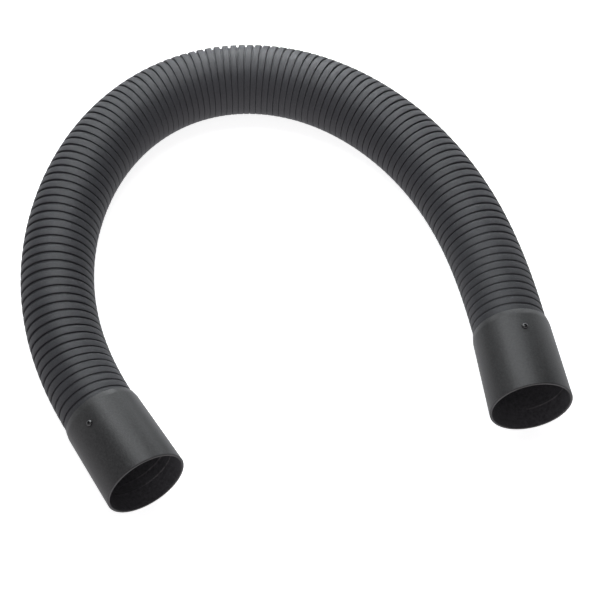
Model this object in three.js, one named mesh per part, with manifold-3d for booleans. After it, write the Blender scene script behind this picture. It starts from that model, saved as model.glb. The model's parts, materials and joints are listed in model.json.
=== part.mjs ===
// Flexible stay-put fume extraction arm: a self-supporting hose of interlocked
// turns with a plain push-on cuff riveted to each end.
// Millimetres, +Z up. The arm lies on the plane z = 0, bent into an inverted U.

import * as THREE from 'three';
import { mergeVertices } from 'three/addons/utils/BufferGeometryUtils.js';
import Module from 'manifold-3d';

const wasm = await Module();
wasm.setup();

// ---------------------------------------------------------------- dimensions

// hose
const HOSE_R = 30;             // outer radius over the turns
const LINK_PITCH = 26.6;       // distance between two hinge centres (about four turns)
const HALF_GAP = 4.5;          // sleeve end to hinge centre
const SLEEVE_IN_R = 27.6;      // inside of a sleeve, where the collar of the one before slides
const SLEEVE_WEB = 2.0;        // ring that joins sleeve and collar
const COLLAR_R = 25.2;         // outer radius of the collar
const COLLAR_IN_R = 23.9;      // free bore of the hose
const COLLAR_REACH = 10;       // collar tip past the hinge centre
const END_IN_R = 26.6;         // bore of the two end links
const LINK_SEGMENTS = 18;

// turn of the hose at each hinge when it lies as an inverted U, base end to tip end, degrees
const REST_TURN = [
  3.9, 4.8, 5.5, 5.9, 6.1, 6.1, 6.0, 6.1, 6.4,
  7.1, 8.1, 9.2, 10.3, 11.1, 11.5, 11.4, 10.8, 9.9, 8.8, 7.7, 6.8,
  6.2, 5.7, 5.4, 5.0, 4.5, 3.8, 3.1, 2.4, 1.7,
];
const BASE_HEADING = 121.2;    // direction of the base end, from its mouth into the hose, degrees from +X

// cuffs
const CUFF_LENGTH = 73;
const CUFF_EDGE_R = 30.9;      // outer radius of the thin edge at the hose end
const CUFF_HOSE_R = 31.8;      // outer radius where the lead-in slope ends
const CUFF_MOUTH_R = 33.5;     // outer radius at the mouth
const CUFF_SLOPE = 5;          // length of the lead-in slope at the hose end
const RIM_ROUND = 0.8;
const HOSE_SOCKET_R = 30.4;    // bore that takes the hose
const HOSE_INSERT = 30;        // how far the hose goes in
const STOP_IN_R = 27.4;        // inner shoulder that the hose and the spigot stop on
const STOP_LENGTH = 3;
const SPIGOT_SOCKET_R = 31.0;  // bore for the spigot, at the shoulder
const SPIGOT_MOUTH_R = 31.4;   // the same bore at the mouth
const HOSE_LEAD = 10;          // hose end of a cuff to the nearest hinge centre
const CUFF_SEGMENTS = 30;

// one blind rivet through cuff and hose at each end
const RIVET_SETBACK = 18;      // from the hose end of the cuff
const RIVET_CLOCK = { base: 32, tip: 9 }; // degrees from straight up, toward the outside of the bend
const RIVET_HOLE_R = 1.5;
const RIVET_SEGMENTS = 12;

// lie of the arm: the hose rests on the ground, and each cuff rests along its tapered side
const CUFF_TAPER = Math.atan((CUFF_MOUTH_R - CUFF_HOSE_R) / (CUFF_LENGTH - CUFF_SLOPE - RIM_ROUND));
const CUFF_AXIS_Z = (CUFF_HOSE_R - CUFF_SLOPE * Math.tan(CUFF_TAPER)) * Math.cos(CUFF_TAPER); // axis height at the hose end
const END_HINGE_Z = CUFF_AXIS_Z - HOSE_LEAD * Math.sin(CUFF_TAPER);                             // first and last hinge
const NEXT_HINGE_Z = 30.35;                                                                     // second and last but one
const BASE_MOUTH = new THREE.Vector2(-111.243, -205.8905); // puts the middle of the footprint on the origin

// ----------------------------------------------------------------- materials

const hosePlastic = (shade) => new THREE.MeshStandardMaterial({ color: shade, roughness: 0.5, metalness: 0 });
const cuffPlastic = () => new THREE.MeshStandardMaterial({ color: 0x303134, roughness: 0.42, metalness: 0 });
const rivetPaint = () => new THREE.MeshStandardMaterial({ color: 0x0d0d0e, roughness: 0.22, metalness: 0.2 });
const mandrelSteel = () => new THREE.MeshStandardMaterial({ color: 0x17171a, roughness: 0.35, metalness: 0.6 });

// ------------------------------------------------------------------- helpers

const rad = THREE.MathUtils.degToRad;

// keep the position only and weld it, so that the surface is closed
function weld(geometry) {
  const g = geometry.clone();
  g.deleteAttribute('normal');
  g.deleteAttribute('uv');
  return mergeVertices(g, 1e-4);
}

function signedVolume(g) {
  const p = g.getAttribute('position');
  const ix = g.getIndex();
  const a = new THREE.Vector3(), b = new THREE.Vector3(), c = new THREE.Vector3();
  let v = 0;
  for (let i = 0; i < ix.count; i += 3) {
    a.fromBufferAttribute(p, ix.getX(i));
    b.fromBufferAttribute(p, ix.getX(i + 1));
    c.fromBufferAttribute(p, ix.getX(i + 2));
    v += a.dot(b.cross(c)) / 6;
  }
  return v;
}

// body of revolution about +Y from a closed (radius, height) outline, facing out
function ring(outline, segments) {
  const points = outline.map(([r, y]) => new THREE.Vector2(r, y));
  if (outline[0][0] > 0) points.push(points[0].clone());
  const g = weld(new THREE.LatheGeometry(points, segments));
  const keep = [];
  const ix = g.getIndex();
  for (let i = 0; i < ix.count; i += 3) {
    const [a, b, c] = [ix.getX(i), ix.getX(i + 1), ix.getX(i + 2)];
    if (a !== b && b !== c && c !== a) keep.push(a, b, c);
  }
  g.setIndex(keep);
  if (signedVolume(g) < 0) {
    for (let i = 0; i < keep.length; i += 3) [keep[i + 1], keep[i + 2]] = [keep[i + 2], keep[i + 1]];
    g.setIndex(keep);
  }
  g.computeVertexNormals();
  return g;
}

function toSolid(g) {
  return new wasm.Manifold(new wasm.Mesh({
    numProp: 3,
    vertProperties: new Float32Array(g.getAttribute('position').array),
    triVerts: new Uint32Array(g.getIndex().array),
  }));
}

function fromSolid(solid) {
  const m = solid.getMesh();
  const g = new THREE.BufferGeometry();
  const xyz = new Float32Array(m.numVert * 3);
  for (let i = 0; i < m.numVert; i++) for (let k = 0; k < 3; k++) xyz[3 * i + k] = m.vertProperties[m.numProp * i + k];
  g.setAttribute('position', new THREE.BufferAttribute(xyz, 3));
  g.setIndex(new THREE.BufferAttribute(new Uint32Array(m.triVerts), 1));
  g.computeVertexNormals();
  return g;
}

// radial frame at height y and clock angle, from +Z toward +X
function radialMatrix(y, clock) {
  const out = new THREE.Vector3(Math.sin(clock), 0, Math.cos(clock));
  return new THREE.Matrix4()
    .makeTranslation(0, y, 0)
    .multiply(new THREE.Matrix4().makeRotationFromQuaternion(
      new THREE.Quaternion().setFromUnitVectors(new THREE.Vector3(0, 1, 0), out)));
}

// cut the rivet hole of one end
function drill(g, y, clock) {
  const bore = new THREE.CylinderGeometry(RIVET_HOLE_R, RIVET_HOLE_R, 20, 10);
  bore.translate(0, 30, 0);
  bore.applyMatrix4(radialMatrix(y, clock));
  return fromSolid(toSolid(g).subtract(toSolid(weld(bore))));
}

function add(group, name, geometry, material) {
  const mesh = new THREE.Mesh(geometry, material);
  mesh.name = name;
  group.add(mesh);
  return mesh;
}

// -------------------------------------------------------------------- pieces

// one hose link about +Y, its own hinge at y = 0 and the next one at y = LINK_PITCH
const linkOutline = [
  [SLEEVE_IN_R, HALF_GAP],
  [HOSE_R, HALF_GAP],
  [HOSE_R, LINK_PITCH - HALF_GAP],
  [COLLAR_R, LINK_PITCH - HALF_GAP],
  [COLLAR_R, LINK_PITCH + COLLAR_REACH],
  [COLLAR_IN_R, LINK_PITCH + COLLAR_REACH],
  [COLLAR_IN_R, LINK_PITCH - HALF_GAP - SLEEVE_WEB],
  [SLEEVE_IN_R, LINK_PITCH - HALF_GAP - SLEEVE_WEB],
];

// first link, riveted into the base cuff, with the first hinge at y = 0
const baseEnd = -(HOSE_LEAD + HOSE_INSERT);
const baseLinkOutline = [
  [END_IN_R, baseEnd],
  [HOSE_R, baseEnd],
  [HOSE_R, -HALF_GAP],
  [COLLAR_R, -HALF_GAP],
  [COLLAR_R, COLLAR_REACH],
  [COLLAR_IN_R, COLLAR_REACH],
  [COLLAR_IN_R, -HALF_GAP - SLEEVE_WEB],
  [END_IN_R, -HALF_GAP - SLEEVE_WEB],
];

// last link, riveted into the tip cuff, with the last hinge at y = 0
const tipEnd = HOSE_LEAD + HOSE_INSERT;
const tipLinkOutline = [
  [SLEEVE_IN_R, HALF_GAP],
  [HOSE_R, HALF_GAP],
  [HOSE_R, tipEnd],
  [END_IN_R, tipEnd],
  [END_IN_R, HALF_GAP + 13],
  [SLEEVE_IN_R, HALF_GAP + 13],
];

// cuff about +Y, hose end at y = 0 and mouth at y = CUFF_LENGTH
const cuffOutline = [
  [HOSE_SOCKET_R, 0],
  [CUFF_EDGE_R, 0],
  [CUFF_HOSE_R, CUFF_SLOPE],
  [CUFF_MOUTH_R, CUFF_LENGTH - RIM_ROUND],
  [CUFF_MOUTH_R - RIM_ROUND, CUFF_LENGTH],
  [SPIGOT_MOUTH_R, CUFF_LENGTH],
  [SPIGOT_SOCKET_R, HOSE_INSERT + 0.5 + STOP_LENGTH],
  [STOP_IN_R, HOSE_INSERT + 0.5 + STOP_LENGTH],
  [STOP_IN_R, HOSE_INSERT + 0.5],
  [HOSE_SOCKET_R, HOSE_INSERT + 0.5],
];

// blind rivet about +Y, height measured from the axis of the cuff
const rivetOutline = [
  [0.7, 33.95],
  [1.5, 33.8],
  [2.2, 33.35],
  [2.6, 32.7],
  [2.6, 32.35],
  [1.2, 32.35],
  [1.2, 26.1],
  [1.8, 25.5],
  [1.8, 24.4],
  [1.2, 23.6],
  [0.7, 23.6],
];
// broken-off mandrel left inside the rivet
const mandrelOutline = [
  [0, 21.9],
  [1.1, 22.2],
  [1.1, 23.0],
  [0.4, 23.3],
  [0.4, 33.3],
  [0, 33.4],
];

// ------------------------------------------------------------------ assembly

const arm = new THREE.Group();
arm.name = 'fume_extraction_arm';

// unit vector for a heading and a climb, both in degrees
const along = (deg, climb) => new THREE.Vector3(
  Math.cos(rad(deg)) * Math.cos(rad(climb)), Math.sin(rad(deg)) * Math.cos(rad(climb)), Math.sin(rad(climb)));

// a group whose +Y runs along a heading and climb, at a point of the centre line
function station(point, deg, climb) {
  const g = new THREE.Group();
  g.position.copy(point);
  g.rotation.set(rad(climb), 0, rad(deg - 90), 'ZXY');
  arm.add(g);
  return g;
}

// cuff and rivet of one end; direction is +1 when the mouth is toward +Y, -1 when it is toward -Y
function cuffEnd(prefix, group, hoseEndY, direction, clock) {
  const cuff = drill(ring(cuffOutline, CUFF_SEGMENTS), RIVET_SETBACK, clock * direction);
  const cuffMesh = add(group, `${prefix}_cuff`, cuff, cuffPlastic());
  cuffMesh.position.y = hoseEndY;
  if (direction < 0) cuffMesh.rotation.z = Math.PI;
  const place = new THREE.Group();
  const m = radialMatrix(hoseEndY + direction * RIVET_SETBACK, clock);
  m.decompose(place.position, place.quaternion, place.scale);
  group.add(place);
  add(place, `${prefix}_rivet`, ring(rivetOutline, RIVET_SEGMENTS), rivetPaint());
  add(place, `${prefix}_mandrel`, ring(mandrelOutline, RIVET_SEGMENTS), mandrelSteel());
}

const count = REST_TURN.length;
const taperDeg = THREE.MathUtils.radToDeg(CUFF_TAPER);
const hingeHeight = (i) => {     // hinges are numbered 1 to count
  if (i === 1 || i === count) return END_HINGE_Z;
  if (i === 2 || i === count - 1) return NEXT_HINGE_Z;
  return HOSE_R;
};

// base end: cuff with its mouth at BASE_MOUTH, then the first link up to the first hinge
let heading = BASE_HEADING;
const reach = (CUFF_LENGTH + HOSE_LEAD) * Math.cos(CUFF_TAPER);
const hinge = new THREE.Vector3(
  BASE_MOUTH.x + reach * Math.cos(rad(heading)), BASE_MOUTH.y + reach * Math.sin(rad(heading)), hingeHeight(1));
const baseClock = -rad(RIVET_CLOCK.base);
const baseStation = station(hinge, heading, -taperDeg);
add(baseStation, 'hose_link_00', drill(ring(baseLinkOutline, CUFF_SEGMENTS), -(HOSE_LEAD + RIVET_SETBACK), baseClock),
  hosePlastic(0x3b3c3f));
cuffEnd('base', baseStation, -HOSE_LEAD, -1, baseClock);

// the chain of links
for (let i = 1; i < count; i++) {
  heading -= REST_TURN[i - 1];
  const climb = THREE.MathUtils.radToDeg(Math.asin((hingeHeight(i + 1) - hingeHeight(i)) / LINK_PITCH));
  const name = `hose_link_${String(i).padStart(2, '0')}`;
  add(station(hinge, heading, climb), name, ring(linkOutline, LINK_SEGMENTS), hosePlastic(i % 2 ? 0x424346 : 0x3b3c3f));
  hinge.addScaledVector(along(heading, climb), LINK_PITCH);
}

// tip end: the last link and its cuff
heading -= REST_TURN[count - 1];
const tipClock = -rad(RIVET_CLOCK.tip);
const tipStation = station(hinge, heading, taperDeg);
add(tipStation, `hose_link_${count}`, drill(ring(tipLinkOutline, CUFF_SEGMENTS), HOSE_LEAD + RIVET_SETBACK, tipClock),
  hosePlastic(0x3b3c3f));
cuffEnd('tip', tipStation, HOSE_LEAD, 1, tipClock);

export default arm;
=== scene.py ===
import json
import math

import bpy
import numpy as np
from mathutils import Matrix, Vector

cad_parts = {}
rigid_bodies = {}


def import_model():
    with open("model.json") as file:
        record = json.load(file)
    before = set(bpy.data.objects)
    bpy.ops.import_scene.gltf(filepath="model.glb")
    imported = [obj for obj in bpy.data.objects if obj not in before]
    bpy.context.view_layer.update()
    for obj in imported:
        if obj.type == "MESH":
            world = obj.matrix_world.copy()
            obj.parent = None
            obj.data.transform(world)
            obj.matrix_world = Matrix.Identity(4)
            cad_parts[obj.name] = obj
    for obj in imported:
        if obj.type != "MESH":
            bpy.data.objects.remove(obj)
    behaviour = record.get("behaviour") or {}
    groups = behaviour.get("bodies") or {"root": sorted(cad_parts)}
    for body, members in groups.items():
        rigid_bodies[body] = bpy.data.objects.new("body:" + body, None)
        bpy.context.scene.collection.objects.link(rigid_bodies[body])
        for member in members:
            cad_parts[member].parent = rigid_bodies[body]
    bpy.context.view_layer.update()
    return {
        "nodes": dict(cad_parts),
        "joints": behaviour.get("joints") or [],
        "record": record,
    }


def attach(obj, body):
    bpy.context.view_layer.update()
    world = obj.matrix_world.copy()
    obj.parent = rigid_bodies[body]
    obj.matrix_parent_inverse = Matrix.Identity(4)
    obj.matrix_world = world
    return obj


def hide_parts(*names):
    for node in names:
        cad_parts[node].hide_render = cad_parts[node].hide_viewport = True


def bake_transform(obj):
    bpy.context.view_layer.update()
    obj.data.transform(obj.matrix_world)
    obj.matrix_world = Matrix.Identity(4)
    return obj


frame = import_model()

MM = 0.001

# light of the studio: glow of the white sweep, room from front to back, and soft boxes
FLOOR_GLOW = 0.80
ROOM = [(0.0, (0.702, 0.683, 0.702)), (0.5, (0.146, 0.143, 0.147)), (0.72, (0.01, 0.01, 0.01)), (0.86, (0.112, 0.1145, 0.118)), (0.93, (1.043, 1.085, 1.113)), (1.0, (0.776, 0.807, 0.828))]
SWEEP = [(0.0, (1.125, 1.095, 1.135)), (0.5, (0.611, 0.600, 0.621)), (1.0, (1.137, 1.173, 1.208))]
COOL = (0.96, 0.99, 1.01)
LIGHTS = [                   # name, place, aim, size, watts, colour, spread in degrees (less than 180 for a box with a grid)
    ("softbox_back", (0.05, 0.72, 0.62), (0.0, 0.10, 0.03), (0.90, 0.45), 0.22, COOL, 180.0),
    ("softbox_top", (0.0, 0.45, 1.35), (0.0, 0.02, 0.0), (1.1, 0.8), 6.65, COOL, 180.0),
    ("softbox_left", (-0.60, 0.25, 0.40), (-0.19, 0.05, 0.03), (0.40, 0.40), 0.26, COOL, 180.0),
    ("softbox_back_left", (-0.50, 0.75, 0.35), (-0.12, 0.12, 0.03), (0.40, 0.40), 1.22, COOL, 180.0),
    ("softbox_back_right", (0.50, 0.75, 0.35), (0.12, 0.12, 0.03), (0.40, 0.40), 0.78, COOL, 180.0),
    ("softbox_high_left", (-0.45, 0.40, 0.85), (-0.12, -0.10, 0.03), (0.35, 0.35), 1.70, COOL, 180.0),
    ("softbox_tip", (-0.06, 0.22, 0.70), (0.19, -0.12, 0.03), (0.28, 0.28), 0.35, COOL, 180.0),
    ("softbox_low_left", (-0.75, -0.05, 0.22), (-0.18, -0.08, 0.03), (0.30, 0.30), 0.14, COOL, 180.0),
    ("softbox_low_right", (0.55, 0.25, 0.12), (0.20, 0.0, 0.04), (0.30, 0.15), 0.113, COOL, 180.0),
    ("grid_bend", (0.0, 0.66, 0.62), (0.0, 0.19, 0.05), (0.30, 0.15), 0.083, COOL, 36.0),
    ("grid_bend_low", (0.0, 0.90, 0.34), (0.0, 0.20, 0.04), (0.40, 0.12), 0.164, COOL, 36.0),
]

# ------------------------------------------------------------------ the route
# Hinge centres, link directions and the two cuff axes all come from the frame.

JOINTS = frame["joints"]
HINGES = [np.array(j["pos_m"]) / MM for j in JOINTS]          # mm, base to tip
PARENTS = [j["parent"] for j in JOINTS]
CHILDREN = [j["child"] for j in JOINTS]
N = len(HINGES)
MOUNT = {m["name"]: np.array(m["axis"], float) for m in frame["record"]["mounts"]}
BASE_OUT = MOUNT["base_mouth_rim"] / np.linalg.norm(MOUNT["base_mouth_rim"])   # out of the base mouth
TIP_OUT = MOUNT["tip_mouth_rim"] / np.linalg.norm(MOUNT["tip_mouth_rim"])      # out of the tip mouth

unit = lambda v: v / np.linalg.norm(v)
DIRS = [-BASE_OUT] + [unit(b - a) for a, b in zip(HINGES[:-1], HINGES[1:])] + [TIP_OUT]
HALF = float(np.linalg.norm(HINGES[1] - HINGES[0])) / 2      # half a link, mm
UP = np.array([0.0, 0.0, 1.0])

HOSE_R = 30.0
PITCH = [                    # (mm along the hose from the middle of the first link, pitch of the turns there): drawn out on the base arm, closed up at the top
    (-30, 7.20), (40, 7.35), (110, 8.15), (150, 8.15), (205, 7.70), (280, 7.05), (360, 6.45), (440, 6.25), (520, 6.62), (600, 7.15), (680, 7.45), (760, 7.15), (830, 7.10),
]
WIDTH = [(-30, 6.0), (110, 6.0), (205, 5.9), (360, 5.42), (440, 5.20), (520, 5.42), (600, 5.75), (680, 5.85), (830, 5.85)]   # width of the bands, the same way
RISE = [(-30, 0.38), (22, 0.38), (62, 0.0), (560, 0.0), (650, 0.18), (695, 0.18), (735, 0.44), (830, 0.44)]   # how much shallower the grooves are, the same way
LEAD = 10.0                  # end hinge to the cuff's hose end
CUFF_LENGTH = 73.0
HOSE_INSERT = 30.0


def arc(k, f):
    """Points and tangents of the centre line around hinge k, f from 0 (middle of the link before) to 1."""
    a, b = DIRS[k], DIRS[k + 1]
    axis = np.cross(a, b)
    theta = math.atan2(np.linalg.norm(axis), float(a @ b))
    start = HINGES[k] - HALF * a
    f = np.asarray(f, float)[:, None]
    if theta < 1e-5:
        return start + 2 * HALF * f * a, np.repeat(a[None], len(f), 0)
    m = np.cross(unit(axis), a)
    r = HALF / math.tan(theta / 2)
    p = start + r * (np.sin(f * theta) * a + (1 - np.cos(f * theta)) * m)
    return p, np.cos(f * theta) * a + np.sin(f * theta) * m


def bend_of(k):
    """Vector across link k..k+1 whose length is the curvature at hinge k, times the direction it turns about."""
    axis = np.cross(DIRS[k], DIRS[k + 1])
    theta = math.atan2(np.linalg.norm(axis), float(DIRS[k] @ DIRS[k + 1]))
    return unit(axis) * 2 * math.tan(theta / 2) / (2 * HALF) if theta > 1e-5 else axis * 0


def curvature(k, t, f):
    """Curvature vectors around hinge k at tangents t, running smoothly from link to link."""
    f = np.asarray(f)[:, None]
    before = (bend_of(max(k - 1, 0)) + bend_of(k)) / 2
    after = (bend_of(k) + bend_of(min(k + 1, N - 1))) / 2
    return np.cross((1 - f) * before + f * after, t)


def frames(t):
    """Up and side vectors across tangents t."""
    up = UP - (t @ UP)[:, None] * t
    up /= np.linalg.norm(up, axis=1)[:, None]
    return up, np.cross(t, up)


# ------------------------------------------------------------------ mesh tools

def make_object(name, verts, faces, smooth=True, sharp=None, uv=None):
    """Object from mm vertices. sharp is a set of vertex-index pairs."""
    me = bpy.data.meshes.new(name)
    me.from_pydata((np.asarray(verts) * MM).tolist(), [], [list(map(int, f)) for f in faces])
    me.polygons.foreach_set("use_smooth", np.full(len(me.polygons), smooth))
    if uv is not None:
        layer = me.uv_layers.new(name="UVMap")
        layer.data.foreach_set("uv", np.asarray(uv, np.float32).ravel())
    if sharp:
        flags = np.zeros(len(me.edges), bool)
        ends = np.zeros(len(me.edges) * 2, np.int32)
        me.edges.foreach_get("vertices", ends)
        for i, (a, b) in enumerate(ends.reshape(-1, 2)):
            if (min(a, b), max(a, b)) in sharp:
                flags[i] = True
        att = me.attributes.get("sharp_edge") or me.attributes.new("sharp_edge", "BOOLEAN", "EDGE")
        att.data.foreach_set("value", flags)
    me.validate()
    me.update()
    ob = bpy.data.objects.new(name, me)
    bpy.context.scene.collection.objects.link(ob)
    return ob


def sweep(name, rows, sharp_cols=(), uv_u=None, uv_v=None):
    """Closed tube from rows of equal closed outlines, with both ends capped."""
    rows = np.asarray(rows)
    n, m = rows.shape[:2]
    verts = rows.reshape(-1, 3)
    faces, uv = [], []
    for i in range(n - 1):
        a, b = i * m, (i + 1) * m
        for j in range(m):
            j2 = (j + 1) % m
            faces.append((a + j, a + j2, b + j2, b + j))
            u0, u1 = uv_u[i], uv_u[i + 1]
            v0, v1 = uv_v[j], uv_v[j + 1]
            uv += [(u0, v0), (u0, v1), (u1, v1), (u1, v0)]
    faces.append(tuple(range(m - 1, -1, -1)))
    uv += [(uv_u[0], uv_v[j]) for j in range(m - 1, -1, -1)]
    last = (n - 1) * m
    faces.append(tuple(last + j for j in range(m)))
    uv += [(uv_u[-1], uv_v[j]) for j in range(m)]
    sharp = set()
    for j in sharp_cols:
        for i in range(n - 1):
            sharp.add((i * m + j, (i + 1) * m + j))
    for j in range(m):
        for base in (0, last):
            a, b = base + j, base + (j + 1) % m
            sharp.add((min(a, b), max(a, b)))
    return make_object(name, verts, faces, True, sharp, uv)


def fix_normals(ob):
    """Turn the faces outward if the closed mesh is inside out."""
    me = ob.data
    co = np.zeros(len(me.vertices) * 3); me.vertices.foreach_get("co", co); co = co.reshape(-1, 3)
    me.calc_loop_triangles()
    tri = np.zeros(len(me.loop_triangles) * 3, np.int32); me.loop_triangles.foreach_get("vertices", tri)
    t = co[tri.reshape(-1, 3)]
    if np.einsum("ij,ij->i", t[:, 0], np.cross(t[:, 1], t[:, 2])).sum() < 0:
        me.flip_normals()
    me.update()


# ------------------------------------------------------------------ the strip
# One strip, wound left-handed. Each turn is a flat-topped band with sloping
# flanks, and a thin tongue that slides under the band of the next turn.

BAND_HALF = 3.00                 # half the width of a band
BAND = [                         # (along the hose, radius) in mm
    (-3.00, 28.85), (-3.00, 29.20), (-2.93, 29.55), (-2.81, 29.78), (-2.60, 29.90), (-2.30, 29.945),
    (-1.15, 29.985), (0.0, 30.0), (1.15, 29.985),
    (2.30, 29.945), (2.60, 29.90), (2.81, 29.78), (2.93, 29.55), (3.00, 29.20), (3.00, 28.95),
    (3.04, 28.75), (6.95, 28.75), (7.15, 28.50), (6.95, 28.05),
    (2.00, 28.05), (1.65, 28.30), (1.60, 28.85),
]
TONGUE = (16, 17, 18)            # outline points at the end of the tongue
FLOOR = [0, 14, 15, 16, 17, 18, 19, 20, 21]   # outline points below the band, which lie deeper where a groove opens
BAND_SHARP = (0, 15, 16, 18, 19, 21)
STEPS = 72                       # steps in one turn
LEAST_GAP = 0.08                 # groove that is left where the turns close up
band = np.array(BAND)
v_len = np.concatenate([[0], np.cumsum(np.linalg.norm(np.diff(np.vstack([band, band[:1]]), axis=0), axis=1))])

# phase of the winding along the hose (0 = underneath at the middle of the first link)
grid = np.linspace(-30.0, 2 * HALF * N + 30.0, 8401)
pitch_at = lambda s: np.interp(s, [p[0] for p in PITCH], [p[1] for p in PITCH])
width_at = lambda s: np.interp(s, [p[0] for p in WIDTH], [p[1] for p in WIDTH])
rise_at = lambda s: np.interp(s, [p[0] for p in RISE], [p[1] for p in RISE])
turn = np.concatenate([[0], np.cumsum(np.diff(grid) / pitch_at((grid[1:] + grid[:-1]) / 2))])
turn -= np.interp(0.0, grid, turn)


def winding(s0, s1):
    """Even steps round the winding from s0 to s1 mm along the hose: places along the hose and phase in radians."""
    t0, t1 = np.interp([s0, s1], grid, turn)
    t = np.linspace(t0, t1, max(2, int(round((t1 - t0) * STEPS))) + 1)
    s = np.interp(t, turn, grid)
    s[0], s[-1] = s0, s1
    return s, t * 2 * math.pi


def strip_rows(points, tangents, pitch, width, rise, phase, bend=None):
    """Outlines of the strip at centre-line points, for helix phase in radians (0 = underneath).
    bend is the curvature vector of the centre line: inside the bend the turns close up and the band is drawn in."""
    up, side = frames(tangents)
    clock = math.pi - phase                       # left-handed, measured from the top toward the inside of the bend
    out = np.cos(clock)[:, None] * up + np.sin(clock)[:, None] * side
    room = np.array(pitch, float)
    if bend is not None:
        room = room * (1 - HOSE_R * (out * bend).sum(1))
    squeeze = np.minimum(width, room - LEAST_GAP) / (2 * BAND_HALF)
    along = band[None, :, 0] * squeeze[:, None]
    for j in TONGUE:                              # the tongue ends under the middle of the next turn
        along[:, j] = room + 0.5 + band[j, 0] - band[TONGUE[1], 0]
    radius = np.repeat(band[None, :, 1], len(points), 0)
    radius[:, FLOOR] += (rise - 5.0 * np.clip(room / pitch - 1, 0, 0.18))[:, None]
    return points[:, None] + radius[..., None] * out[:, None] + along[..., None] * tangents[:, None]


def strip_piece(name, points, tangents, s, phase, bend=None):
    ob = sweep(name, strip_rows(points, tangents, pitch_at(s), width_at(s), rise_at(s), phase, bend), BAND_SHARP,
               uv_u=phase * HOSE_R / 10.0, uv_v=v_len / 10.0)
    fix_normals(ob)
    return ob


hose, share = [], []
for k in range(N):
    s, phase = winding(2 * HALF * k, 2 * HALF * (k + 1))
    f = s / (2 * HALF) - k
    p, t = arc(k, f)
    hose.append(strip_piece("hose_turns_%02d" % (k + 1), p, t, s, phase, curvature(k, t, f)))
    share.append(f)

# straight ends inside the cuffs
s, phase = winding(-(LEAD + HOSE_INSERT - HALF - 3.2), 0.0)
base_hose = strip_piece("hose_end_base", HINGES[0] - HALF * DIRS[0] + s[:, None] * DIRS[0],
                        np.repeat(DIRS[0][None], len(s), 0), s, phase)
length = 2 * HALF * N
s, phase = winding(length, length + LEAD + HOSE_INSERT - HALF - 8.0)
tip_hose = strip_piece("hose_end_tip", HINGES[-1] + HALF * DIRS[-1] + (s - length)[:, None] * DIRS[-1],
                       np.repeat(DIRS[-1][None], len(s), 0), s, phase)

# ------------------------------------------------------------------ cuffs and rivets


def lathe(name, outline, origin, axis, segments=144, sharp_angle=40.0, closed=True):
    """Body of revolution from a (radius, height) outline. A closed outline goes round the axis; an open one starts and ends on it."""
    axis = unit(axis)
    up = unit(UP - (axis @ UP) * axis) if abs(axis @ UP) < 0.95 else unit(np.array([0, 1.0, 0]) - axis[1] * axis)
    side = np.cross(axis, up)
    pts = np.array(outline, float)
    m = len(pts)
    ang = np.linspace(0, 2 * math.pi, segments, endpoint=False)
    out = np.cos(ang)[:, None] * up + np.sin(ang)[:, None] * side
    verts, index = [], np.zeros((segments, m), int)
    for j, (r, h) in enumerate(pts):
        if r < 1e-6:
            index[:, j] = len(verts)
            verts.append(origin + h * axis)
        else:
            for i in range(segments):
                index[i, j] = len(verts)
                verts.append(origin + h * axis + r * out[i])
    loops = range(m) if closed else range(m - 1)
    length = np.concatenate([[0], np.cumsum(np.linalg.norm(np.diff(np.vstack([pts, pts[:1]]), axis=0), axis=1))])
    faces, uv = [], []
    for i in range(segments):
        i2 = (i + 1) % segments
        for j in loops:
            j2 = (j + 1) % m
            quad = [(index[i, j], i, j, 0), (index[i2, j], i + 1, j, 0), (index[i2, j2], i + 1, j2, 1), (index[i, j2], i, j2, 1)]
            seen, corner = set(), []
            for v, ii, jj, top in quad:
                if v not in seen:
                    seen.add(v)
                    corner.append((v, (ii / segments * 2 * math.pi * 3.2, length[j + top] / 10.0)))
            faces.append([c[0] for c in corner])
            uv += [c[1] for c in corner]
    sharp = set()
    for j in range(m):
        if not closed and j in (0, m - 1):
            continue
        a, b, c = pts[j - 1], pts[j], pts[(j + 1) % m]
        if pts[j][0] < 1e-6:
            continue
        d1, d2 = unit(b - a), unit(c - b)
        if math.degrees(math.acos(max(-1, min(1, float(d1 @ d2))))) > sharp_angle:
            for i in range(segments):
                x, y = index[i, j], index[(i + 1) % segments, j]
                sharp.add((min(x, y), max(x, y)))
    ob = make_object(name, verts, faces, True, sharp, uv)
    fix_normals(ob)
    return ob


def fillet(outline, radii, steps=4):
    """Rounds the corners of a closed outline; radii by corner index."""
    pts = [np.array(p, float) for p in outline]
    m = len(pts)
    res = []
    for i, p in enumerate(pts):
        r = radii.get(i, 0)
        if r <= 0:
            res.append(tuple(p)); continue
        a, b = unit(pts[i - 1] - p), unit(pts[(i + 1) % m] - p)
        half = math.acos(max(-1, min(1, float(a @ b)))) / 2
        d = r / math.tan(half)
        c = p + unit(a + b) * (r / math.sin(half))
        v0, v1 = p + a * d - c, p + b * d - c
        a0, a1 = math.atan2(v0[1], v0[0]), math.atan2(v1[1], v1[0])
        da = (a1 - a0 + math.pi) % (2 * math.pi) - math.pi
        for s_ in range(steps + 1):
            x = a0 + da * s_ / steps
            res.append((c[0] + r * math.cos(x), c[1] + r * math.sin(x)))
    return res


RINGS = {"base": (16.4, 24.8), "tip": (16.8,)}   # fine moulded rings inside the sockets, mm from the mouth
RING_HALF = 0.62                           # half the width of a ring at its foot
CUFF_OUT = [                               # (radius, distance from the hose end)
    (30.4, 0.0), (30.9, 0.0), (31.8, 5.0), (33.5, 73.0), (31.4, 73.0), (31.38, 71.0),
]
CUFF_IN = [(31.0, 33.5), (27.4, 33.5), (27.4, 30.5), (30.4, 30.5)]
socket = lambda u: 31.0 + (31.4 - 31.0) * (u - 33.5) / (73.0 - 33.5)


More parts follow.
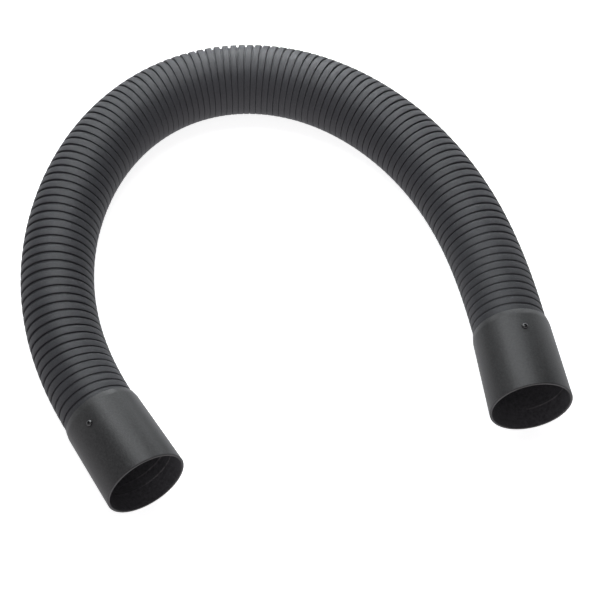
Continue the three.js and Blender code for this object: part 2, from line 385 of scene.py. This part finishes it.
def cuff_outline(rings):
    """Outline of a sleeve with its inner rings."""
    ribs = []
    for d in rings:
        u = CUFF_LENGTH - d
        ribs += [(socket(u + h), u + h) for h in (1.5, RING_HALF + 0.1, RING_HALF)] + [(socket(u) - 0.12, u + 0.36), (socket(u) - 0.12, u - 0.36)] + [(socket(u - h), u - h) for h in (RING_HALF, RING_HALF + 0.1, 1.5)]
    k0 = len(CUFF_OUT) + len(ribs)
    return fillet(CUFF_OUT + ribs + CUFF_IN, {1: 0.22, 2: 12.0, 3: 0.75, 4: 0.6, k0: 0.8, k0 + 1: 0.6, k0 + 2: 0.5}, 5)


base_start = HINGES[0] + LEAD * BASE_OUT
tip_start = HINGES[-1] + LEAD * TIP_OUT
base_cuff = lathe("base_cuff_sleeve", cuff_outline(RINGS["base"]), base_start, BASE_OUT)
tip_cuff = lathe("tip_cuff_sleeve", cuff_outline(RINGS["tip"]), tip_start, TIP_OUT)


def rivet_axis(node):
    """Vertices of a rivet part's CAD mesh, in mm; place_rivet takes the axis from them."""
    me = frame["nodes"][node].data
    co = np.array([v.co for v in me.vertices]) / MM
    return co


def place_rivet(prefix, start, out):
    co = rivet_axis(prefix + "_mandrel")
    c = co.mean(0)
    foot = start + ((c - start) @ out) * out
    radial = unit(c - foot)
    top = float(((rivet_axis(prefix + "_rivet") - foot) @ radial).max())
    return foot, radial, top


def make_rivet(prefix, start, out):
    foot, radial, top = place_rivet(prefix, start, out)
    u = float((foot - start) @ out)
    surface = 31.8 + (33.5 - 31.8) * (u - 5.0) / 68.0
    r, h = 2.65, top - surface
    dome = []
    for i in range(10):
        x = i / 9
        ang = x * math.radians(86)
        dome.append((0.72 + (r - 0.72) * math.sin(ang) / math.sin(math.radians(86)),
                     surface + 0.10 + (h - 0.10) * (math.cos(ang) - math.cos(math.radians(86))) / (1 - math.cos(math.radians(86)))))
    body = [(0.72, 23.6)] + [(0.72, top - 0.9)] + [(0.72, top - 0.05)] + dome[1:] + [(r - 0.12, surface - 0.02), (1.2, surface - 0.02), (1.2, 26.0), (1.8, 25.4), (1.8, 24.4), (1.2, 23.6)]
    rivet = lathe(prefix + "_rivet_head", body, foot, radial, 48, 50)
    pin = [(0.0, 22.0), (1.05, 22.3), (1.05, 23.1), (0.5, 23.4), (0.5, top - 0.42), (0.35, top - 0.34), (0.0, top - 0.30)]
    mandrel = lathe(prefix + "_rivet_stem", pin, foot, radial, 32, 50, closed=False)
    return rivet, mandrel


base_rivet, base_stem = make_rivet("base", base_start, BASE_OUT)
tip_rivet, tip_stem = make_rivet("tip", tip_start, TIP_OUT)

# ------------------------------------------------------------------ materials


def add_node(nt, kind, x, y, **inputs):
    n = nt.nodes.new(kind)
    n.location = (x, y)
    for key, val in inputs.items():
        n.inputs[key.replace("_", " ")].default_value = val
    return n


def new_material(name, specular=0.5, metallic=0.0):
    mat = bpy.data.materials.new(name)
    mat.use_nodes = True
    nt = mat.node_tree
    nt.nodes.clear()
    out = add_node(nt, "ShaderNodeOutputMaterial", 900, 0)
    bsdf = add_node(nt, "ShaderNodeBsdfPrincipled", 600, 0)
    bsdf.inputs["IOR"].default_value = 1.5
    bsdf.inputs["Specular IOR Level"].default_value = specular
    bsdf.inputs["Metallic"].default_value = metallic
    nt.links.new(bsdf.outputs[0], out.inputs[0])
    return mat, nt, bsdf


def noise(nt, vector, scale, detail, x, y, rough=0.55):
    n = add_node(nt, "ShaderNodeTexNoise", x, y, Scale=scale, Detail=detail, Roughness=rough)
    nt.links.new(vector, n.inputs["Vector"])
    return n.outputs["Fac"]


def ramp(nt, fac, dark, light, lo, hi, x, y):
    r = add_node(nt, "ShaderNodeValToRGB", x, y)
    r.color_ramp.elements[0].position, r.color_ramp.elements[1].position = lo, hi
    r.color_ramp.elements[0].color, r.color_ramp.elements[1].color = (*dark, 1), (*light, 1)
    nt.links.new(fac, r.inputs["Fac"])
    return r.outputs["Color"]


def span(nt, fac, lo, hi, x, y):
    m = add_node(nt, "ShaderNodeMapRange", x, y)
    m.inputs["From Min"].default_value, m.inputs["From Max"].default_value = 0.3, 0.7
    m.inputs["To Min"].default_value, m.inputs["To Max"].default_value = lo, hi
    nt.links.new(fac, m.inputs["Value"])
    return m.outputs["Result"]


def multiply(nt, a, b, x, y):
    m = nt.nodes.new("ShaderNodeMix")
    m.data_type, m.blend_type, m.location = "RGBA", "MULTIPLY", (x, y)
    m.inputs["Factor"].default_value = 1.0
    nt.links.new(a, m.inputs[6])
    nt.links.new(b, m.inputs[7])
    return m.outputs[2]


def bump(nt, bsdf, layers):
    """Chain of bump nodes from (height, strength, distance in metres)."""
    last = None
    for i, (h, strength, dist) in enumerate(layers):
        b = add_node(nt, "ShaderNodeBump", 100 + 180 * i, -350, Strength=strength, Distance=dist)
        nt.links.new(h, b.inputs["Height"])
        if last is not None:
            nt.links.new(last, b.inputs["Normal"])
        last = b.outputs["Normal"]
    nt.links.new(last, bsdf.inputs["Normal"])


def strip_plastic(name, dark, light, rough):
    """Extruded strip: fine drawn lines along its length, a slow drift of tone, a gritty skin and dust-fine grain."""
    mat, nt, bsdf = new_material(name)
    tc = add_node(nt, "ShaderNodeTexCoord", -1200, 0)
    mp = add_node(nt, "ShaderNodeMapping", -1000, -100, Scale=(0.35, 26.0, 1.0))
    nt.links.new(tc.outputs["UV"], mp.inputs["Vector"])
    lines = noise(nt, mp.outputs["Vector"], 1.0, 3.0, -800, -100, 0.6)
    drift = noise(nt, tc.outputs["Object"], 22.0, 3.0, -800, 200)
    grain = noise(nt, tc.outputs["Object"], 2600.0, 2.0, -800, -400)
    grit = noise(nt, tc.outputs["Object"], 780.0, 3.0, -800, -650, 0.6)
    tone = ramp(nt, drift, dark, light, 0.32, 0.68, -500, 200)
    cloud = ramp(nt, grit, (0.78, 0.78, 0.78), (1.18, 1.18, 1.18), 0.34, 0.66, -500, -560)
    streak = ramp(nt, lines, (0.88, 0.88, 0.885), (1.01, 1.01, 1.01), 0.30, 0.62, -500, -40)
    nt.links.new(multiply(nt, multiply(nt, tone, streak, -250, 150), cloud, -100, 150), bsdf.inputs["Base Color"])
    nt.links.new(span(nt, lines, rough - 0.05, rough + 0.06, -500, -220), bsdf.inputs["Roughness"])
    bump(nt, bsdf, [(lines, 0.14, 0.00025), (grit, 0.13, 0.0005), (grain, 0.12, 0.00012)])
    return mat


def moulded_plastic(name, dark, light, rough, grain_scale, grain_bump, speck=0.84):
    """Moulded sleeve: fine even texture from the mould, with a slow drift of tone and sheen."""
    mat, nt, bsdf = new_material(name)
    tc = add_node(nt, "ShaderNodeTexCoord", -1200, 0)
    drift = noise(nt, tc.outputs["Object"], 30.0, 4.0, -800, 200)
    grain = noise(nt, tc.outputs["Object"], grain_scale, 2.5, -800, -150, 0.65)
    mottle = noise(nt, tc.outputs["Object"], grain_scale * 0.31, 3.0, -800, -420, 0.6)
    tone = ramp(nt, drift, dark, light, 0.32, 0.68, -500, 200)
    spots = ramp(nt, grain, (speck, speck, speck), (1.0, 1.0, 1.0), 0.33, 0.60, -500, -40)
    cloud = ramp(nt, mottle, (0.67, 0.67, 0.67), (1.21, 1.21, 1.21), 0.34, 0.66, -500, -560)
    nt.links.new(multiply(nt, multiply(nt, tone, spots, -250, 150), cloud, -100, 150), bsdf.inputs["Base Color"])
    nt.links.new(span(nt, mottle, rough - 0.04, rough + 0.05, -500, -220), bsdf.inputs["Roughness"])
    bump(nt, bsdf, [(mottle, 0.10, 0.0005), (grain, grain_bump, 0.00018)])
    return mat


def lacquer(name, dark, light, rough, metallic=0.0, specular=0.5):
    """Glossy black coat with faint unevenness, or dark oxide on steel."""
    mat, nt, bsdf = new_material(name, specular, metallic)
    tc = add_node(nt, "ShaderNodeTexCoord", -1200, 0)
    drift = noise(nt, tc.outputs["Object"], 240.0, 3.0, -800, 200)
    grain = noise(nt, tc.outputs["Object"], 1500.0, 2.0, -800, -150)
    nt.links.new(ramp(nt, drift, dark, light, 0.3, 0.7, -500, 200), bsdf.inputs["Base Color"])
    nt.links.new(span(nt, grain, rough - 0.04, rough + 0.08, -500, -120), bsdf.inputs["Roughness"])
    bump(nt, bsdf, [(grain, 0.05, 0.0002)])
    return mat


hose_mat = strip_plastic("hose_plastic", (0.0258, 0.0261, 0.0301), (0.0307, 0.0312, 0.0357), 0.52)
cuff_mat = moulded_plastic("cuff_plastic", (0.0300, 0.0298, 0.0305), (0.0345, 0.0343, 0.0348), 0.405, 1900.0, 0.36, 0.74)
# Painted light: the bore gets a lighter colour than the sleeve, to lift the shade that falls deep inside it.
bore_painted_light_mat = moulded_plastic("cuff_inside_painted_light", (0.0675, 0.0665, 0.0720), (0.083, 0.081, 0.088), 0.50, 1300.0, 0.2, 0.80)
# Painted highlight: the ring crests get a lighter colour on the side of the cuff where the light falls, with a fainter
# band where it fades.
ring_crest_highlight_mat = moulded_plastic("cuff_ring_painted_highlight", (0.086, 0.082, 0.086), (0.205, 0.196, 0.200), 0.46, 1300.0, 0.2, 0.80)
ring_crest_highlight_fade_mat = moulded_plastic("cuff_ring_painted_highlight_fade", (0.077, 0.075, 0.079), (0.138, 0.133, 0.138), 0.48, 1300.0, 0.2, 0.80)
rivet_mat = lacquer("rivet_black", (0.004, 0.004, 0.0045), (0.008, 0.008, 0.0085), 0.13, 0.0, 1.0)
stem_mat = lacquer("stem_black_oxide", (0.010, 0.010, 0.011), (0.018, 0.018, 0.019), 0.34, 0.6)

for ob in hose + [base_hose, tip_hose]:
    ob.data.materials.append(hose_mat)
for ob, start, out, rings in ((base_cuff, base_start, BASE_OUT, RINGS["base"]), (tip_cuff, tip_start, TIP_OUT, RINGS["tip"])):
    ob.data.materials.append(cuff_mat)
    ob.data.materials.append(bore_painted_light_mat)          # the bore, coloured lighter than the sleeve: painted light that lifts the shade inside it
    ob.data.materials.append(ring_crest_highlight_mat)            # the crests of the rings, painted highlight on the side where the light falls
    ob.data.materials.append(ring_crest_highlight_fade_mat)            # where that painted highlight fades
    side = np.cross(UP, out) / np.linalg.norm(np.cross(UP, out))
    for poly in ob.data.polygons:
        c = np.array(poly.center) / MM - start
        radial = c - (c @ out) * out
        # faces of the bore take its lighter colour, which is painted light
        if np.array(poly.normal) @ radial < 0 and c @ out < CUFF_LENGTH - 0.8:
            poly.material_index = 1
            # painted highlight mask: ring crests on one side of the cuff only, brightest furthest round that side
            turn = radial @ side / np.linalg.norm(radial)
            if turn > 0.10 and any(abs(CUFF_LENGTH - c @ out - d) < RING_HALF for d in rings):
                poly.material_index = 2 if turn > 0.42 else 3
for ob in (base_rivet, tip_rivet):
    ob.data.materials.append(rivet_mat)
for ob in (base_stem, tip_stem):
    ob.data.materials.append(stem_mat)

# ------------------------------------------------------------------ what each piece follows (the hose turns are only baked in place; the ends, cuffs and rivets follow their bodies)

for k, ob in enumerate(hose):
    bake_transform(ob)
    if k < N - 1:
        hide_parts("hose_link_%02d" % (k + 1))

for ob, body, cad in ((base_hose, PARENTS[0], "hose_link_00"), (tip_hose, CHILDREN[-1], "hose_link_%02d" % N),
                      (base_cuff, PARENTS[0], "base_cuff"), (tip_cuff, CHILDREN[-1], "tip_cuff"),
                      (base_rivet, PARENTS[0], "base_rivet"), (tip_rivet, CHILDREN[-1], "tip_rivet"),
                      (base_stem, PARENTS[0], "base_mandrel"), (tip_stem, CHILDREN[-1], "tip_mandrel")):
    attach(ob, body)
    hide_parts(cad)

# ------------------------------------------------------------------ stage, light, camera

sweep_profile = [(1.5, 0.0), (4.0, 0.0), (4.8, 0.10), (5.4, 0.42), (5.8, 0.95), (6.0, 1.7), (6.0, 7.0)]   # radius, height in m
sides = 96
floor_verts = [(0.0, 0.0, 0.0)] + [(r * math.cos(2 * math.pi * i / sides), r * math.sin(2 * math.pi * i / sides), h) for r, h in sweep_profile for i in range(sides)]
floor_faces = [(0, 1 + i, 1 + (i + 1) % sides) for i in range(sides)]
for j in range(len(sweep_profile) - 1):
    for i in range(sides):
        p, q = 1 + j * sides + i, 1 + j * sides + (i + 1) % sides
        floor_faces.append((p, p + sides, q + sides, q))
floor_me = bpy.data.meshes.new("floor")
floor_me.from_pydata(floor_verts, [], floor_faces)
floor_me.polygons.foreach_set("use_smooth", np.ones(len(floor_faces), bool))
floor = bpy.data.objects.new("floor", floor_me)
bpy.context.scene.collection.objects.link(floor)
fm = bpy.data.materials.new("floor_white")
fm.use_nodes = True
fb = fm.node_tree.nodes["Principled BSDF"]
fb.inputs["Base Color"].default_value = (0.85, 0.85, 0.85, 1)
fb.inputs["Roughness"].default_value = 0.9
fb.inputs["Specular IOR Level"].default_value = 0.0
fb.inputs["Emission Color"].default_value = (1, 1, 1, 1)
fb.inputs["Emission Strength"].default_value = FLOOR_GLOW
floor_me.materials.append(fm)
floor.visible_diffuse = False          # the white sweep is bright to the eye, and throws little light back up
floor.visible_glossy = False
floor.visible_shadow = False

scene = bpy.context.scene
world = bpy.data.worlds.new("studio")
world.use_nodes = True
wt = world.node_tree
wt.nodes.clear()
w_out = add_node(wt, "ShaderNodeOutputWorld", 900, 0)
w_bg = add_node(wt, "ShaderNodeBackground", 700, 0)
wt.links.new(w_bg.outputs[0], w_out.inputs[0])
w_tc = add_node(wt, "ShaderNodeTexCoord", -900, 0)
w_xyz = add_node(wt, "ShaderNodeSeparateXYZ", -700, 0)
wt.links.new(w_tc.outputs["Generated"], w_xyz.inputs[0])
w_y = add_node(wt, "ShaderNodeMapRange", -500, 150)          # front to back
w_y.inputs["From Min"].default_value, w_y.inputs["From Max"].default_value = -1.0, 1.0
wt.links.new(w_xyz.outputs["Y"], w_y.inputs["Value"])


def world_ramp(stops, y):
    r = add_node(wt, "ShaderNodeValToRGB", -300, y)
    el = r.color_ramp.elements
    el[0].position, el[1].position = 0.0, 1.0
    el[0].color, el[1].color = (*stops[0][1], 1), (*stops[-1][1], 1)
    for pos, v in stops[1:-1]:
        el.new(pos).color = (*v, 1)
    wt.links.new(w_y.outputs["Result"], r.inputs["Fac"])
    return r.outputs["Color"]


w_z = add_node(wt, "ShaderNodeMapRange", -500, -250)         # below or above the horizon
w_z.inputs["From Min"].default_value, w_z.inputs["From Max"].default_value = -0.10, 0.08
wt.links.new(w_xyz.outputs["Z"], w_z.inputs["Value"])
w_mix = wt.nodes.new("ShaderNodeMix")
w_mix.data_type = "RGBA"
wt.links.new(w_z.outputs["Result"], w_mix.inputs["Factor"])
wt.links.new(world_ramp(SWEEP, -50), w_mix.inputs[6])
wt.links.new(world_ramp(ROOM, 200), w_mix.inputs[7])
wt.links.new(w_mix.outputs[2], w_bg.inputs["Color"])
scene.world = world
scene.view_settings.view_transform = "Standard"
scene.view_settings.look = "None"
scene.view_settings.exposure = 0.0


def area(name, loc, target, size, energy, colour, spread):
    li = bpy.data.lights.new(name, "AREA")
    li.shape = "RECTANGLE"
    li.size, li.size_y = size
    li.energy = energy
    li.color = colour
    li.spread = math.radians(spread)
    ob = bpy.data.objects.new(name, li)
    ob.location = loc
    ob.rotation_euler = (Vector(target) - Vector(loc)).to_track_quat("-Z", "Y").to_euler()
    scene.collection.objects.link(ob)
    return ob


for args in LIGHTS:
    area(*args)

TARGET = Vector((6.95, -35.9, 31.0)) * MM
DIST, ELEV = 1.787, math.radians(57.0)
cam_data = bpy.data.cameras.new("camera")
cam_data.sensor_width = 36.0
cam_data.lens = 1.233 * 1787.0 / 600.0 * 36.0
cam_data.clip_start, cam_data.clip_end = 0.05, 50.0
cam = bpy.data.objects.new("camera", cam_data)
back = Vector((0, -math.cos(ELEV), math.sin(ELEV)))
cam.location = TARGET + back * DIST
cam.rotation_euler = (-back).to_track_quat("-Z", "Y").to_euler()
scene.collection.objects.link(cam)
scene.camera = cam
